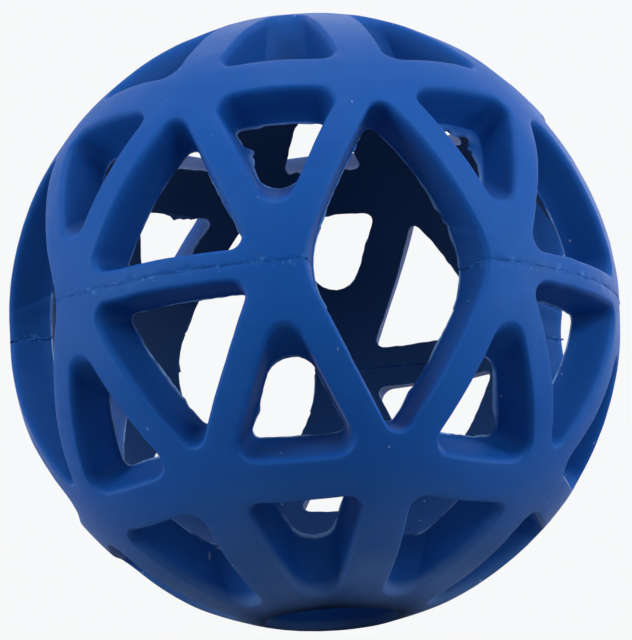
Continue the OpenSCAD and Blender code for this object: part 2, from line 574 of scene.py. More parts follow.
@dataclass
class SkinPatch:
    """The part of a sphere that lies between the openings, as a mesh of even triangles.

    The margin beside an opening is a share of the spacing, and the rim's height a share of the
    radius.
    """

    radius: float
    spacing: float = 1.5
    margin_share: float = 0.6
    rim_share: float = -0.76
    rim_steps: int = 90

    def flatten(self, points: np.ndarray) -> np.ndarray:
        """Points of the sphere, drawn on a plane from the pole that lies opposite."""
        return points[:, :2] / (1 + points[:, 2:] / self.radius)

    def fill_points(self, openings: Sequence[Opening], grow: float, floor_z: float) -> np.ndarray:
        """Evenly spread points of the sphere that keep clear of the openings' edges.

        Args:
            openings: all openings of the half shell.
            grow: how far the openings' outlines are grown on this sphere.
            floor_z: height under which no points are needed.

        Returns:
            Rows of three coordinates.
        """
        count = round(4 * math.pi * self.radius**2 / self.spacing**2)
        steps = np.arange(count) + 0.5
        height = 1 - 2 * steps / count
        turn = steps * GOLDEN_ANGLE
        across = np.sqrt(1 - height**2)
        points = np.column_stack([across * np.cos(turn), across * np.sin(turn), height])
        points = self.radius * points[self.radius * height > floor_z]
        margin = grow + self.spacing * self.margin_share
        for opening in openings:
            points = points[~opening.covers(points, self.radius, margin)]
        return points

    def rim_points(self) -> np.ndarray:
        """The circle that closes the patch, below all that is kept.

        Returns:
            Rows of three coordinates.
        """
        turn = np.linspace(0, 2 * math.pi, self.rim_steps, endpoint=False)
        height = np.full(self.rim_steps, self.rim_share)
        across = math.sqrt(1 - self.rim_share**2)
        circle = np.column_stack([across * np.cos(turn), across * np.sin(turn), height])
        return self.radius * circle

    def triangles(
        self, loops: Sequence[np.ndarray], fill: np.ndarray
    ) -> tuple[np.ndarray, np.ndarray]:
        """Joins the loops and the points between them with triangles.

        Args:
            loops: one closed row of points for each opening.
            fill: points between the openings.

        Returns:
            The added points, and the triangles as rows of three indices into the loops'
            points in order, followed by the added points.
        """
        rim = self.rim_points()
        points = np.vstack([*loops, rim, fill])
        sizes = [len(loop) for loop in loops] + [len(rim)]
        starts = np.concatenate([[0], np.cumsum(sizes)])
        edges = [
            (int(start + step), int(start + (step + 1) % size))
            for start, size in zip(starts, sizes)
            for step in range(size)
        ]
        flat = self.flatten(points)
        made = delaunay_2d_cdt([Vector(p) for p in flat], edges, [], 0, JOIN_TOLERANCE, True)
        source = np.array([ids[0] for ids in made[3]])
        faces = source[np.array([list(face) for face in made[2]])]
        owner = np.full(len(points), -1)
        for number, (start, size) in enumerate(zip(starts, sizes[:-1])):
            owner[start : start + size] = number
        same = (owner[faces] == owner[faces[:, :1]]).all(1) & (owner[faces[:, 0]] >= 0)
        keep = np.ones(len(faces), bool)
        for row in np.flatnonzero(same):
            number = owner[faces[row, 0]]
            loop = flat[starts[number] : starts[number] + sizes[number]]
            keep[row] = not surrounds(loop, flat[faces[row]].mean(0))
        return points[starts[-2] :], faces[keep]


def surrounds(loop: np.ndarray, point: np.ndarray) -> bool:
    """Whether a closed loop on a plane goes round a point.

    Args:
        loop: rows of two coordinates.
        point: two coordinates.

    Returns:
        True if it does.
    """
    ahead = np.roll(loop, -1, axis=0)
    crosses = (loop[:, 1] > point[1]) != (ahead[:, 1] > point[1])
    rise = np.where(crosses, ahead[:, 1] - loop[:, 1], 1)
    where = loop[:, 0] + (point[1] - loop[:, 1]) * (ahead[:, 0] - loop[:, 0]) / rise
    return bool((crosses & (where > point[0])).sum() % 2)


@dataclass(frozen=True)
class Flash:
    """The thin ragged flash along the inner edges of a half shell's openings.

    Lengths are millimetres. Shares are of the flash's thickness or width, and each ripple's
    seed is counted from the half shell's first one.
    """

    thickness: float = 0.24
    root: float = 0.25
    least_width: float = 0.12
    usual_width: float = 0.32
    torn_width: float = 1.1
    tip_share: float = 0.92
    back_share: float = 0.6
    back_lift_share: float = 0.2
    foot_lift_share: float = 0.4
    fillet_share: float = 0.4
    back_rim: float = 0.5
    under_hollow: float = 0.4
    torn_patches: Ripple = Ripple(0, 24.0)
    torn_levels: tuple[float, float] = (0.6, 1.6)
    jags: Ripple = Ripple(1, 2.6, 0.45)
    jag_usual: float = 0.55
    jag_most: float = 1.2
    changes: tuple[Ripple, ...] = (Ripple(2, 9.0, 0.35), Ripple(6, 2.4, 0.22))
    change_limits: tuple[float, float] = (0.2, 2.0)
    frays: Ripple = Ripple(7, 3.0, 0.05)
    # How pale the flash rim shows: stress whitening and a painted edge highlight.
    pale_width: float = 1.0
    broad_paleness: float = 0.25
    end_paleness: float = 0.35

    def width(self, row: np.ndarray, tears: Sequence[Tear], first_seed: int) -> np.ndarray:
        """How far the flash reaches into an opening.

        Args:
            row: the opening's inner outline.
            tears: the opening's large tongues of flash.
            first_seed: the half shell's first seed.

        Returns:
            One width in millimetres for each point.
        """
        torn = ease(self.torn_patches.at(row, first_seed), *self.torn_levels)
        jagged = np.clip(self.jag_usual + self.jags.at(row, first_seed), 0, self.jag_most)
        uneven = sum((change.at(row, first_seed) for change in self.changes), 1.0)
        width = self.usual_width * np.clip(uneven, *self.change_limits)
        width = width + torn * jagged * self.torn_width
        frayed = 1 + self.frays.at(row, first_seed)
        for tear in tears:
            width = np.maximum(width, tear.width_along(row) * frayed)
        return np.maximum(width, self.least_width)


@dataclass
class HalfShell:
    """One moulded half of the ball: lattice, soft edges, ragged inner lips and seam groove."""

    half: Half
    sizes: LatticeSizes
    flash: Flash = Flash()
    edge_radius: float = 0.75
    edge_depth: float = 1.3
    edge_steps: int = 6
    wall_steps: int = 3
    seam_bevel: float = 0.05
    bevel_usual: float = 0.8
    bevel_changes: Ripple = Ripple(3, 6.0, 0.45)
    bevel_limits: tuple[float, float] = (0.02, 0.4)
    seam_reach: float = 7.0
    waves: tuple[Ripple, ...] = (Ripple(4, 19.0, 0.07), Ripple(5, 5.0, 0.0175))
    calm_reach: float = 3.0
    calm_share: float = 0.3
    crease_angle: float = 50.0

    @property
    def seed(self) -> int:
        """First seed of the half shell's irregularities."""
        return UPPER_SEED if self.half is Half.UPPER else LOWER_SEED

    def openings(self) -> list[Opening]:
        """Every opening of the half shell.

        Returns:
            The round end opening, and then three openings for each sector.
        """
        found: list[Opening] = [RoundEndOpening(self.sizes)]
        for index in range(self.sizes.sectors):
            found.append(ring_opening(self.sizes, index))
            found.append(end_opening(self.sizes, index))
            found.append((belt_opening, belt_gap)[index % 2](self.sizes, index))
        return found

    def stations(self) -> list[WallStation]:
        """The outlines that an opening's wall runs through.

        Returns:
            The outlines in order, from the hollow to the outer face.
        """
        flash, inner = self.flash, self.sizes.inner_radius
        tip = inner + flash.thickness
        foot = tip + flash.root
        back = tip + flash.thickness * flash.back_lift_share
        lift = flash.thickness * flash.foot_lift_share
        shoulder = self.sizes.ball_radius - self.edge_depth
        rows = [
            WallStation(inner, 0.0, hollow=1.0),
            WallStation(inner, 0.0, 1.0, rim=1.0, hollow=flash.under_hollow),
            WallStation(tip, 0.0, flash.tip_share, rim=1.0),
            WallStation(back, 0.0, flash.back_share, rim=flash.back_rim),
            WallStation(tip + lift, -flash.root * flash.fillet_share),
            WallStation(foot + lift, 0.0),
        ]
        for step in range(1, self.wall_steps):
            rows.append(WallStation(foot + (shoulder - foot) * step / self.wall_steps, 0.0))
        for angle in np.linspace(0, math.pi / 2, self.edge_steps + 1):
            rise, run = math.sin(angle), 1 - math.cos(angle)
            rows.append(WallStation(shoulder + self.edge_depth * rise, self.edge_radius * run))
        return rows

    def tears(self) -> list[Tear]:
        """The large tongues of flash, where the photograph shows them.

        Returns:
            The tongues, each with its opening, place, half its length and its width.
        """
        if self.half is Half.LOWER:
            return [
                Tear(14, 0.66, 6.0, 0.8),
                Tear(14, 0.89, 5.0, 1.1),
                Tear(15, 0.85, 6.0, 0.7),
                Tear(15, 0.975, 4.0, 0.8),
                Tear(18, 0.02, 3.0, 0.6),
                Tear(18, 0.60, 3.0, 0.7),
                Tear(19, 0.19, 9.0, 1.4),
                Tear(19, 0.38, 5.0, 1.0),
            ]
        return [
            Tear(16, 0.62, 3.0, 1.1),
            Tear(16, 0.72, 4.0, 0.8),
            Tear(16, 0.815, 2.3, 2.0),
            Tear(16, 0.88, 2.6, 1.3),
            Tear(16, 0.96, 3.5, 0.7),
            Tear(18, 0.985, 3.5, 0.7),
            Tear(19, 0.54, 5.0, 1.9),
            Tear(19, 0.40, 7.0, 4.0),
            Tear(19, 0.30, 5.0, 3.8),
            Tear(19, 0.20, 5.0, 2.5),
            Tear(19, 0.08, 4.0, 1.5),
        ]

    def flash_width(self, number: int, row: np.ndarray) -> np.ndarray:
        """How far the flash at an opening's inner edge reaches into the opening.

        Args:
            number: which opening.
            row: its inner outline.

        Returns:
            One width in millimetres for each point.
        """
        tears = [tear for tear in self.tears() if tear.opening == number]
        return self.flash.width(row, tears, self.seed)

    def flash_whitening_and_highlight(self, number: int, row: np.ndarray) -> np.ndarray:
        """How pale the flash is along an opening's inner edge, as stress whitening and a painted
        edge highlight: broad tongues are darker.

        Args:
            number: which opening.
            row: its inner outline.

        Returns:
            One share for each point, 1 where the flash is narrow.
        """
        if number == END_OPENING:
            return np.full(len(row), self.flash.end_paleness)
        share = self.flash.pale_width / self.flash_width(number, row)
        return np.clip(share, self.flash.broad_paleness, 1)

    def wall_rows(self, number: int, opening: Opening) -> list[np.ndarray]:
        """The wall of one opening, from the hollow to the outer face.

        Args:
            number: which opening.
            opening: the opening itself.

        Returns:
            One row of points for each station.
        """
        rows = []
        for station in self.stations():
            row = opening.outline(station.radius, station.grow)
            if station.lip_share:
                inward = unit(row.mean(0) - row)
                row = row + inward * (self.flash_width(number, row) * station.lip_share)[:, None]
                row = unit(row) * station.radius
            rows.append(row)
        return rows

    def wall_faces(
        self, walls: Sequence[list[np.ndarray]], starts: np.ndarray
    ) -> list[list[int]]:
        """Faces between the rows of each opening's wall.

        Args:
            walls: the rows of each opening.
            starts: index of each row's first point, over all openings.

        Returns:
            Faces as rows of four indices.
        """
        faces: list[list[int]] = []
        first_row = 0
        for wall in walls:
            around = np.arange(len(wall[0]))
            ahead = (around + 1) % len(wall[0])
            for level in range(first_row, first_row + len(wall) - 1):
                low, high = starts[level], starts[level + 1]
                quads = np.column_stack([low + around, low + ahead, high + ahead, high + around])
                faces.extend(quads.tolist())
            first_row += len(wall)
        return faces

    def lattice_mesh(self) -> tuple[np.ndarray, list[list[int]], dict[str, np.ndarray]]:
        """The closed lattice round the half shell's centre, reaching past the belt.

        Returns:
            Points in millimetres, faces as rows of indices, and how far each point belongs to
            the flash's rim and to the inner face.
        """
        openings, stations = self.openings(), self.stations()
        walls = [self.wall_rows(number, opening) for number, opening in enumerate(openings)]
        points = [row for wall in walls for row in wall]
        starts = np.concatenate([[0], np.cumsum([len(row) for row in points])])
        faces = self.wall_faces(walls, starts)
        marks: dict[str, list[np.ndarray]] = {FLASH_RIM: [], INNER_FACE: []}
        for number, wall in enumerate(walls):
            # The rim mark carries the flash's stress whitening and painted edge highlight.
            pale = self.flash_whitening_and_highlight(number, wall[0])
            marks[FLASH_RIM].extend(station.rim * pale for station in stations)
            marks[INNER_FACE].extend(np.full(len(pale), station.hollow) for station in stations)
        total, depth = starts[-1], len(stations)
        skins = (
            (0, self.sizes.inner_radius, 0.0),
            (depth - 1, self.sizes.ball_radius, self.edge_radius),
        )
        for level, radius, grow in skins:
            patch = SkinPatch(radius)
            fill = patch.fill_points(openings, grow, self.sizes.belt_z - patch.spacing)
            added, triangles = patch.triangles([wall[level] for wall in walls], fill)
            rows = range(level, len(starts) - 1, depth)
            index = [np.arange(starts[row], starts[row + 1]) for row in rows]
            index = np.concatenate([*index, total + np.arange(len(added))])
            faces.extend(index[triangles].tolist())
            points.append(added)
            total += len(added)
            marks[FLASH_RIM].append(np.zeros(len(added)))
            marks[INNER_FACE].append(np.full(len(added), float(level == 0)))
        joined = {name: np.concatenate(rows) for name, rows in marks.items()}
        return np.vstack(points), faces, joined

    def cut_at_seam(self, work: bmesh.types.BMesh) -> None:
        """Cuts the lattice at the belt, bevels the cut edge and closes it.

        Args:
            work: the lattice, changed in place.
        """
        cut_z = self.sizes.belt_z + self.sizes.bond_thickness / 2
        for height, clear in ((cut_z + 2 * self.seam_bevel, False), (cut_z, True)):
            bmesh.ops.bisect_plane(
                work,
                geom=work.verts[:] + work.edges[:] + work.faces[:],
                dist=CUT_TOLERANCE,
                plane_co=(0, 0, height),
                plane_no=(0, 0, 1),
                clear_inner=clear,
            )
        work.normal_update()
        rim = [edge for edge in work.edges if edge.is_boundary]
        rim_verts = {vert for edge in rim for vert in edge.verts}
        points = np.array([vert.co for vert in rim_verts])
        depth = self.seam_bevel * (self.bevel_usual + self.bevel_changes.at(points, self.seed))
        for vert, sink in zip(rim_verts, np.clip(depth, *self.bevel_limits)):
            side = Vector((vert.normal.x, vert.normal.y, 0)).normalized()
            vert.co -= side * float(sink)
        bmesh.ops.triangle_fill(work, use_beauty=True, use_dissolve=False, edges=rim)

    def bend_seam(self, work: bmesh.types.BMesh) -> None:
        """Lets the cut edge wander up and down as the real seam does.

        Args:
            work: the cut half shell, changed in place.
        """
        points = np.array([vert.co for vert in work.verts])
        low = self.sizes.belt_z
        near = 1 - ease(points[:, 2], low + self.sizes.bond_thickness, low + self.seam_reach)
        for vert, move in zip(work.verts, self.half.value * seam_wave(points) * near):
            vert.co.z += float(move)

    def roughen(self, work: bmesh.types.BMesh) -> None:
        """Gives the moulded faces the slight waviness of rubber, calmer beside the seam.

        Args:
            work: the cut half shell, changed in place.
        """
        work.normal_update()
        points = np.array([vert.co for vert in work.verts])
        height = sum(wave.at(points, self.seed) for wave in self.waves)
        fade = ease(points[:, 2], self.sizes.belt_z, self.sizes.belt_z + self.calm_reach)
        height = height * (self.calm_share + (1 - self.calm_share) * fade)
        for vert, move in zip(work.verts, height):
            way = vert.normal.copy()
            if vert.co.z < self.sizes.belt_z + self.sizes.bond_thickness:
                way.z = 0
            vert.co += way * float(move)

    def place(self) -> Matrix:
        """The step from the half shell's own millimetres to its place in the row frame.

        Returns:
            A matrix that also turns the lower half over.
        """
        lift = Matrix.Translation((0, 0, self.sizes.belt_height * METRES))
        scale = Matrix.Diagonal((METRES, METRES, self.half.value * METRES, 1))
        return lift @ scale @ Matrix.Translation((0, 0, self.sizes.end_rise))

    def build(self) -> bpy.types.Object:
        """Builds the half shell's mesh in the row frame.

        Returns:
            The new object, standing for its construction node.
        """
        points, faces, marks = self.lattice_mesh()
        mesh = bpy.data.meshes.new(self.half.name.lower() + "_rubber_half")
        mesh.from_pydata(points.tolist(), [], faces)
        for name, values in marks.items():
            mesh.attributes.new(name, "FLOAT", "POINT").data.foreach_set("value", values)
        work = bmesh.new()
        work.from_mesh(mesh)
        bmesh.ops.recalc_face_normals(work, faces=work.faces[:])
        self.cut_at_seam(work)
        bmesh.ops.recalc_face_normals(work, faces=work.faces[:])
        self.roughen(work)
        self.bend_seam(work)
        bmesh.ops.transform(work, matrix=self.place(), verts=work.verts[:])
        if self.half is Half.LOWER:
            bmesh.ops.reverse_faces(work, faces=work.faces[:])
        work.to_mesh(mesh)
        work.free()
        mesh.shade_smooth()
        mesh.set_sharp_from_angle(angle=math.radians(self.crease_angle))
        shell = bpy.data.objects.new(mesh.name, mesh)
        bpy.context.scene.collection.objects.link(shell)
        return shell

    def dress(self, shell: bpy.types.Object, material: bpy.types.Material) -> None:
        """Gives the half shell its finish and its place in the frame.

        Args:
            shell: the half shell's object.
            material: its finish.
        """
        shell.data.materials.append(material)
        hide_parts(self.half.node)
        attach(shell, "root")
        LOG.info("%s: %d faces", shell.name, len(shell.data.polygons))


@dataclass
class SeamBond:
    """Cured bonding compound between the half shells, with a wandering edge."""

    quarter: Quarter
    sizes: LatticeSizes
    round_steps: int = 90
    wall_steps: int = 10
    outer_inset: float = 0.02
    edge_wander: Ripple = Ripple(80, 3.0, 0.09)
    end_spill: float = 0.25
    end_changes: Ripple = Ripple(90, 2.0)
    end_limits: tuple[float, float] = (-0.4, 2.0)
    inner_spill: float = 0.5
    inner_spill_power: int = 4

    def gap_half_angle(self, radius: float) -> float:
        """Half the angle round the axis that a tall opening takes up at the belt.

        Args:
            radius: distance from the ball's centre.

        Returns:
            The angle in radians.
        """
        before_first_node, corner_at_node = -1, 2
        gap = belt_gap(self.sizes, before_first_node)
        arc = gap.arc(corner_at_node, radius, 0.0)
        middle = arc[len(arc) // 2]
        return abs(math.atan2(middle[1], middle[0]))

    def flat_grid(self) -> np.ndarray:
        """Points of the film on the belt's plane, before its edges wander.

        Returns:
            Rows round the ball, with columns through the wall from the hollow outwards.
        """
        inset = self.sizes.bond_inset
        quarter_turn = math.pi / 2
        start = quarter_turn * self.quarter.value
        belt = (self.sizes.inner_radius + inset, self.sizes.ball_radius - self.outer_inset)
        points = np.empty((self.round_steps + 1, self.wall_steps + 1, 3))
        for column, radius in enumerate(np.linspace(*belt, self.wall_steps + 1)):
            inwards = 1 - column / self.wall_steps
            spill = self.inner_spill * inwards**self.inner_spill_power
            low = self.gap_half_angle(radius) + (inset / 2 - spill) / radius
            turn = start + np.linspace(low, quarter_turn - low, self.round_steps + 1)
            across = np.column_stack([np.cos(turn), np.sin(turn), np.zeros_like(turn)])
            points[:, column] = radius * across
        return points

    def grid(self) -> np.ndarray:
        """Points of the film's middle surface, with its spills and its wandering edges.

        Returns:
            Rows round the ball, with columns through the wall from the hollow outwards.
        """
        points = self.flat_grid()
        for edge, way in ((0, -1), (-1, 1)):
            shift = way * self.edge_wander.at(points[:, edge], self.quarter.value)
            points[:, edge] += unit(points[:, edge]) * shift[:, None]
        for end, way in ((0, -1), (-1, 1)):
            ahead = unit(np.cross([0, 0, 1], points[end]))
            spill = self.end_spill * np.clip(self.end_changes.at(points[end]), *self.end_limits)
            points[end] += way * ahead * spill[:, None]
        points[:, :, 2] += seam_wave(points.reshape(-1, 3)).reshape(points.shape[:2])
        return points

    def build(self) -> bpy.types.Object:
        """Builds the film in the row frame.

        Returns:
            The new object, standing for its construction node.
        """
        grid = self.grid()
        rows, columns = grid.shape[:2]
        count = rows * columns
        lift = np.array([0, 0, self.sizes.bond_thickness / 2])
        flat = grid.reshape(-1, 3)
        points = np.vstack([flat - lift, flat + lift])
        cell = np.arange(count).reshape(rows, columns)
        corners = [cell[:-1, :-1], cell[1:, :-1], cell[1:, 1:], cell[:-1, 1:]]
        quads = np.stack(corners, -1).reshape(-1, 4)
        rim = np.concatenate([cell[0, :-1], cell[:-1, -1], cell[-1, :0:-1], cell[:0:-1, 0]])
        ahead = np.roll(rim, -1)
        walls = np.column_stack([rim, ahead, ahead + count, rim + count])
        faces = [*quads[:, ::-1].tolist(), *(quads + count).tolist(), *walls.tolist()]
        points[:, 2] += self.sizes.belt_height
        name = f"bond_film_{self.quarter.name.lower()}"
        mesh = bpy.data.meshes.new(name)
        mesh.from_pydata((points * METRES).tolist(), [], faces)
        work = bmesh.new()
        work.from_mesh(mesh)
        bmesh.ops.recalc_face_normals(work, faces=work.faces[:])
        work.to_mesh(mesh)
        work.free()
        film = bpy.data.objects.new(name, mesh)
        bpy.context.scene.collection.objects.link(film)
        return film

    def dress(self, film: bpy.types.Object, material: bpy.types.Material) -> None:
        """Gives the film its finish and its place in the frame.

        Args:
            film: the film's object.
            material: its finish.
        """
        film.data.materials.append(material)
        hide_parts(self.quarter.node)
        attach(film, "root")
        LOG.info("%s: %d faces", film.name, len(film.data.polygons))


@dataclass(frozen=True)
class Pattern:
    """A noise pattern in a finish.

    The size of its patches is in millimetres. Detail and rough say how many finer layers it has
    and how strong they are, and low and high are the levels between which it fades in.
    """

    size: float
    detail: float
    rough: float = 0.5
    low: float = 0.0
    high: float = 1.0


@dataclass(frozen=True)
class Streaks:
    """How a pattern is turned, in radians, and squeezed, so that it is drawn out in one way."""

    turn: tuple[float, float, float]
    squeeze: float


class Graph:
    """A material's node tree, with short calls to add nodes and link them."""

    def __init__(self, name: str) -> None:
        """Starts an empty material of that name."""
        self.owner: bpy.types.ID = bpy.data.materials.new(name)
        self.clear()

    @classmethod
    def of_world(cls, world: bpy.types.World) -> "Graph":
        """Starts an empty node tree for the surroundings.

        Args:
            world: the surroundings.

        Returns:
            Their node tree.
        """
        graph = cls.__new__(cls)
        graph.owner = world
        graph.clear()
        return graph

    def clear(self) -> None:
        """Empties the owner's node tree."""
        self.owner.use_nodes = True
        self.tree = self.owner.node_tree
        self.tree.nodes.clear()

    def add(self, kind: str, values: dict | None = None, **settings: object) -> bpy.types.Node:
        """Adds a node.

        Args:
            kind: the node's type, such as ShaderNodeMath.
            values: value or source socket for each input, by its name or number.
            **settings: the node's own properties.

        Returns:
            The new node.
        """
        node = self.tree.nodes.new(kind)
        for name, value in settings.items():
            setattr(node, name, value)
        for name, value in (values or {}).items():
            if isinstance(value, bpy.types.NodeSocket):
                self.tree.links.new(value, node.inputs[name])
            else:
                node.inputs[name].default_value = value
        return node

    def place(self) -> Socket:
        """The point's coordinates in metres."""
        return self.add("ShaderNodeTexCoord").outputs["Object"]

    def height(self, place: Socket) -> Socket:
        """The height of a point in metres."""
        return self.add("ShaderNodeSeparateXYZ", {0: place}).outputs["Z"]

    def mark(self, name: str) -> Socket:
        """A number that the mesh holds for each point."""
        return self.add("ShaderNodeAttribute", attribute_name=name).outputs["Fac"]

    def maths(self, kind: str, *values: object) -> Socket:
        """Result of a Math node of that operation on one, two or three values."""
        return self.add("ShaderNodeMath", dict(enumerate(values)), operation=kind).outputs[0]

    def noise(self, place: Socket, pattern: Pattern) -> Socket:
        """Noise from 0 to 1, before it fades in.

        Args:
            place: coordinates in metres.
            pattern: the pattern's size and layers.

        Returns:
            The factor socket.
        """
        values = {
            "Vector": place,
            "Scale": 1 / (pattern.size * METRES),
            "Detail": pattern.detail,
            "Roughness": pattern.rough,
        }
        return self.add("ShaderNodeTexNoise", values).outputs["Fac"]

    def pattern(self, place: Socket, pattern: Pattern) -> Socket:
        """Where a pattern shows, from 0 to 1 between its two levels."""
        return self.ramp(self.noise(place, pattern), pattern.low, pattern.high)

    def drawn_out(self, place: Socket, streaks: Streaks) -> Socket:
        """Coordinates that draw a pattern out.

        Args:
            place: coordinates in metres.
            streaks: how they are turned and squeezed.

        Returns:
            The new coordinates.
        """
        values = {"Vector": place, "Rotation": streaks.turn, "Scale": (1.0, 1.0, streaks.squeeze)}
        return self.add("ShaderNodeMapping", values).outputs[0]

    def ramp(self, value: Socket, low: float, high: float) -> Socket:
        """Smooth step of a value.

        Args:
            value: what is eased.
            low: value that gives 0. It may be above high.
            high: value that gives 1.

        Returns:
            The result, from 0 to 1.
        """
        spans = {"Value": value, "From Min": low, "From Max": high}
        node = self.add("ShaderNodeMapRange", spans, interpolation_type="SMOOTHSTEP")
        return node.outputs["Result"]

    def blend(self, factor: object, one: object, two: object) -> Socket:
        """Mixes two colours.

        Args:
            factor: 0 for the first colour, 1 for the second.
            one: the first colour, a socket or an RGB tuple.
            two: the second colour, a socket or an RGB tuple.

        Returns:
            The mixed colour.
        """
        node = self.add("ShaderNodeMix", {"Factor": factor}, data_type="RGBA")
        for name, value in (("A", one), ("B", two)):
            socket = next(s for s in node.inputs if s.name == name and s.type == "RGBA")
            if isinstance(value, bpy.types.NodeSocket):
                self.tree.links.new(value, socket)
            else:
                socket.default_value = (*value, 1)
        return next(s for s in node.outputs if s.type == "RGBA")

    def bump(self, height: Socket, strength: float, depth: float) -> Socket:
        """Relief of a surface.

        Args:
            height: the relief, from 0 to 1.
            strength: how strongly it shows.
            depth: its depth in millimetres.

        Returns:
            The surface's normal.
        """
        values = {"Strength": strength, "Distance": depth * METRES, "Height": height}
        return self.add("ShaderNodeBump", values).outputs[0]

    def seen_rays(self) -> Socket:
        """1 for the rays that show a background: straight, reflected or refracted.

        Returns:
            The result, 0 for the rays that only bring light.
        """
        path = self.add("ShaderNodeLightPath").outputs
        straight_or_glossy = self.maths("ADD", path["Is Camera Ray"], path["Is Glossy Ray"])
        return self.maths("ADD", straight_or_glossy, path["Is Transmission Ray"])

    def finish(self, shader: Socket) -> bpy.types.Material:
        """Links the shader to the output and returns the material."""
        self.add("ShaderNodeOutputMaterial", {"Surface": shader})
        return self.owner


@dataclass(frozen=True)
class RubberFinish:
    """Matte moulded rubber: soft sheen, faint mottling, dust and residue beside the seam.

    The walls of the openings and the inner face carry painted shade, the flash rim stress
    whitening and a painted edge highlight, and the lower end painted bounce light.
    Lengths are millimetres. A share says how strongly something shows.
    """

    name: str
    half: Half
    sizes: LatticeSizes
    colour: Colour = (0.006, 0.084, 0.39)
    bloom: Colour = (0.012, 0.098, 0.41)
    bloom_share: float = 0.45
    bloom_patches: Pattern = Pattern(26.0, 3.0, low=0.42, high=0.72)
    mottle: Pattern = Pattern(3.5, 4.0, 0.6, 0.35, 0.75)
    mottle_share: float = 0.5
    mottle_level: float = 0.9
    # Painted shade: the walls of the openings are darkened towards this colour.
    wall: Colour = (0.0045, 0.060, 0.285)
    wall_shade_share: float = 0.75
    wall_depths: tuple[float, float] = (2.5, 0.4)
    # Painted shade on the inner face: a darker, greyer blue, stronger in the upper half.
    hollow: Colour = (0.021, 0.060, 0.165)
    hollow_shade_heights: tuple[float, float] = (0.5, 1.4)
    hollow_shade_shares: tuple[float, float] = (0.4, 0.92)
    # Pale flash rim: stress whitening and a painted edge highlight, paler in the lower half.
    flash: Colour = (0.12, 0.25, 0.55)
    low_flash_whitening_and_highlight: Colour = (0.20, 0.38, 0.72)
    flash_whitening_and_highlight_patches: Pattern = Pattern(5.0, 3.0, low=0.34, high=0.58)
    residue: Colour = (0.03, 0.06, 0.15)
    residue_reach: float = 3.2
    residue_patches: Pattern = Pattern(8.0, 4.0, 0.65, 0.56, 0.7)
    residue_share: float = 0.4
    crumb: Colour = (0.04, 0.17, 0.50)
    crumb_reach: float = 1.6
    crumbs: Pattern = Pattern(1.3, 3.0, 0.6, 0.55, 0.66)
    crumb_groups: Pattern = Pattern(9.0, 2.0, low=0.42, high=0.55)
    seam_core: float = 0.3
    # Painted bounce light from below: the lower end is greyed and lightened, most near the bottom.
    painted_bounce: Colour = (0.036, 0.105, 0.30)
    painted_bounce_top: float = 27.0
    painted_bounce_base: float = 1.0
    painted_bounce_clouds: Pattern = Pattern(16.0, 4.0, 0.6, 0.1, 0.6)
    painted_end_light: Colour = (0.08, 0.18, 0.44)
    painted_end_light_top: float = 9.0
    dust: Colour = (0.35, 0.45, 0.62)
    dust_spacing: float = 5.0
    dust_share: float = 0.5
    dust_rarity: float = 0.55
    dust_core: float = 0.6
    grain_radius: float = 0.06
    fibre_radius: float = 0.04
    fibre_streaks: Streaks = Streaks((0.3, 0.2, 1.1), 0.16)
    roughness: float = 0.55
    handling: Pattern = Pattern(14.0, 3.0)
    handling_change: float = 0.18
    specular_level: float = 0.2
    specular_tint: Colour = (0.5, 0.85, 1.0)
    grain: Pattern = Pattern(0.5, 3.0, 0.55)
    rubs: Pattern = Pattern(1.6, 2.0, low=0.62, high=0.8)
    rub_streaks: Streaks = Streaks((0.5, 0.9, 0.3), 0.12)
    rub_height: float = 0.5
    relief_strength: float = 0.35
    relief_depth: float = 0.05

    def material(self) -> bpy.types.Material:
        """Makes the material.

        Returns:
            The new material.
        """
        graph = Graph(self.name)
        place = graph.place()
        values = {
            "Base Color": self.base_colour(graph, place),
            "Roughness": self.gloss(graph, place),
            "Normal": self.relief(graph, place),
            "Specular IOR Level": self.specular_level,
            "Specular Tint": (*self.specular_tint, 1),
        }
        return graph.finish(graph.add("ShaderNodeBsdfPrincipled", values).outputs[0])

    def base_colour(self, graph: Graph, place: Socket) -> Socket:
        """Colour with its mottling, painted bounce light at the lower end, residue, painted shade
        on the inner face, pale flash with stress whitening and a painted edge highlight, and dust.

        Args:
            graph: the material.
            place: coordinates in metres.

        Returns:
            The colour.
        """
        colour = self.moulded(graph, place)
        # Painted bounce light from below, greying and lightening the lower end.
        colour = graph.blend(self.painted_bounce_share(graph, place, self.painted_bounce_top), colour, self.painted_bounce)
        colour = graph.blend(self.painted_bounce_share(graph, place, self.painted_end_light_top), colour, self.painted_end_light)
        colour = graph.blend(self.smudges(graph, place), colour, self.residue)
        colour = graph.blend(self.flecks(graph, place), colour, self.crumb)
        # Painted shade on the inner face of the hollow.
        colour = graph.blend(self.inner_face_shade(graph, place), colour, self.hollow)
        # Pale rim of the flash: stress whitening and a painted edge highlight.
        rim, patches = graph.mark(FLASH_RIM), graph.pattern(place, self.flash_whitening_and_highlight_patches)
        flash = self.flash if self.half is Half.UPPER else self.low_flash_whitening_and_highlight
        colour = graph.blend(graph.maths("MULTIPLY", rim, patches), colour, flash)
        fibre_place = graph.drawn_out(place, self.fibre_streaks)
        colour = graph.blend(self.specks(graph, fibre_place, self.fibre_radius), colour, self.dust)
        return graph.blend(self.specks(graph, place, self.grain_radius), colour, self.dust)

